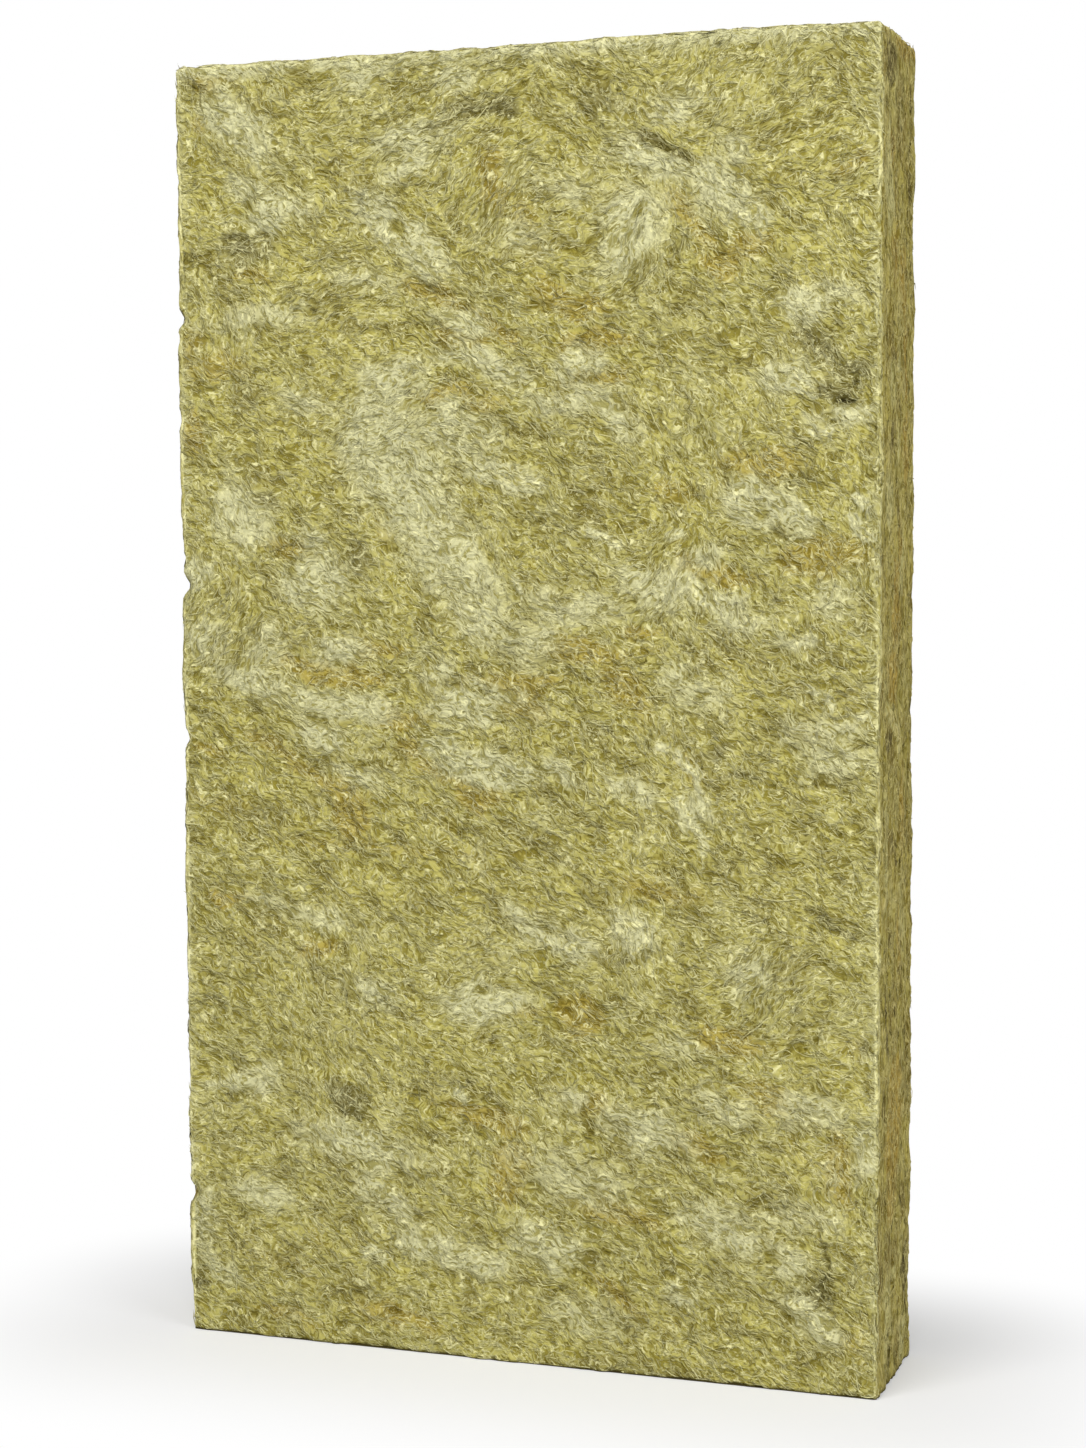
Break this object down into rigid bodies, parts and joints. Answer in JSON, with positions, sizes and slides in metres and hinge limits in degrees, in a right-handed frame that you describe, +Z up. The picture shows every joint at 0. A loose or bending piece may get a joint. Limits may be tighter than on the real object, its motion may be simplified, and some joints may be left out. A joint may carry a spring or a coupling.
{
  "type": "acoustic insulation slab",
  "caption": "Rigid stone wool slab for sound insulation, with felted faces and layered cut edges, standing on its short end.",
  "frame": {"origin": "middle of the flat base, the short cut end that the slab stands on", "axes": "+Z up the slab's length, +X along its width, +Y through its thickness from the pictured face to the back"},
  "size_m": [0.56, 0.12, 1],
  "materials": {
    "stone_wool": "matted resin-bonded mineral fibre, dry and matt, olive yellow with paler tufts"
  },
  "bodies": {
    "root": {"slab": "stone_wool"}
  },
  "joints": []
}
